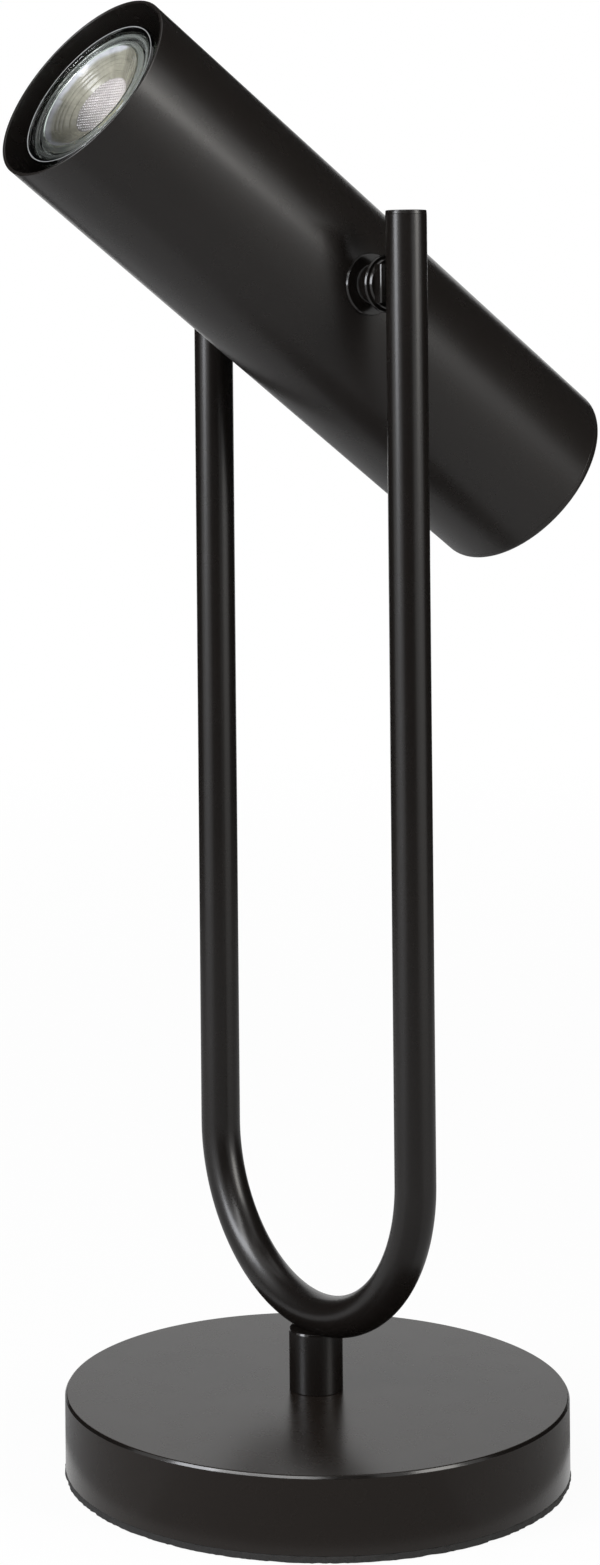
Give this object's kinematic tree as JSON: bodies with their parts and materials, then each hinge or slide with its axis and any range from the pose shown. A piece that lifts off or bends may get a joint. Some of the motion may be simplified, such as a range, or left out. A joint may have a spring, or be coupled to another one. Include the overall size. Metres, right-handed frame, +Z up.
{
  "type": "desk lamp",
  "caption": "Spot desk lamp: a long cylindrical head on friction pivots tilts between the legs of a bent-tube frame on a round weighted base.",
  "frame": {"origin": "centre of the base's underside, on the desk", "axes": "+Z up, +X from the left leg to the right leg along the head's pivot, -Y the way the head shines"},
  "size_m": [0.1506, 0.1986, 0.4354],
  "materials": {
    "pad_foam": "matte foam",
    "plate_steel": "black coat",
    "zinc_steel": "zinc plated",
    "weight_iron": "as cast",
    "black_coat": "satin powder coat",
    "black_rubber": "matte",
    "block_plastic": "matte",
    "brass": "turned",
    "tinned_brass": "tinned",
    "lead_sheath": "soft matte",
    "friction_nylon": "matte",
    "bracket_steel": "plain sheet",
    "ceramic": "unglazed ceramic",
    "lead_cores": "silicone",
    "bulb_clear": "clear, moulded",
    "bulb_optic": "clear, micro-lens",
    "led_phosphor": "matte",
    "board_aluminium": "white resist",
    "core_aluminium": "as cast",
    "base_white": "moulded",
    "pin_steel": "plated"
  },
  "bodies": {
    "stand": {"base_pad": "pad_foam", "base_plate": "plate_steel", "base_plate_screws": "zinc_steel", "base_weight": "weight_iron", "base_cover": "black_coat", "cable_grommet": "black_rubber", "terminal_block": "block_plastic", "terminal_inserts": "brass", "terminal_screws": "zinc_steel", "terminal_block_screw": "zinc_steel", "earth_tag": "tinned_brass", "earth_screw": "zinc_steel", "threaded_rod": "zinc_steel", "rod_nut": "zinc_steel", "lock_washer": "zinc_steel", "rod_washer": "zinc_steel", "neck_collar": "black_coat", "u_frame": "black_coat", "leg_cap_left": "black_coat", "leg_cap_right": "black_coat", "frame_lead": "lead_sheath", "pivot_saddle_left": "black_coat", "pivot_small_washer_left": "black_coat", "pivot_large_washer_left": "black_coat", "pivot_spacer_left": "black_coat", "friction_washer_left": "friction_nylon", "pivot_stud_left": "zinc_steel", "spring_washer_left": "zinc_steel", "pivot_nut_left": "zinc_steel", "pivot_saddle_right": "black_coat", "pivot_small_washer_right": "black_coat", "pivot_large_washer_right": "black_coat", "pivot_spacer_right": "black_coat", "friction_washer_right": "friction_nylon", "pivot_stud_right": "zinc_steel", "spring_washer_right": "zinc_steel", "pivot_nut_right": "zinc_steel"},
    "head": {"head_tube": "black_coat", "head_rear_cap": "black_coat", "holder_bracket": "bracket_steel", "lamp_holder": "ceramic", "holder_contacts": "brass", "holder_screws": "zinc_steel", "head_lead": "lead_sheath", "holder_leads": "lead_cores", "pivot_flange_left": "black_coat", "pivot_flange_right": "black_coat"},
    "bulb": {"bulb_shell": "bulb_clear", "bulb_lens": "bulb_optic", "led_chip": "led_phosphor", "led_board": "board_aluminium", "bulb_core": "core_aluminium", "bulb_base": "base_white", "bulb_pins": "pin_steel"}
  },
  "joints": [
    {"name": "head_tilt", "type": "hinge", "parent": "stand", "child": "head", "pos_m": [0, 0, 0.353], "axis": [1, 0, 0], "range_deg": [-54.5, 125.5]},
    {"name": "bulb_twist", "type": "hinge", "parent": "head", "child": "bulb", "pos_m": [0, 0, 0.353], "axis": [0, -0.8141, 0.5807], "range_deg": [0, 20]}
  ]
}
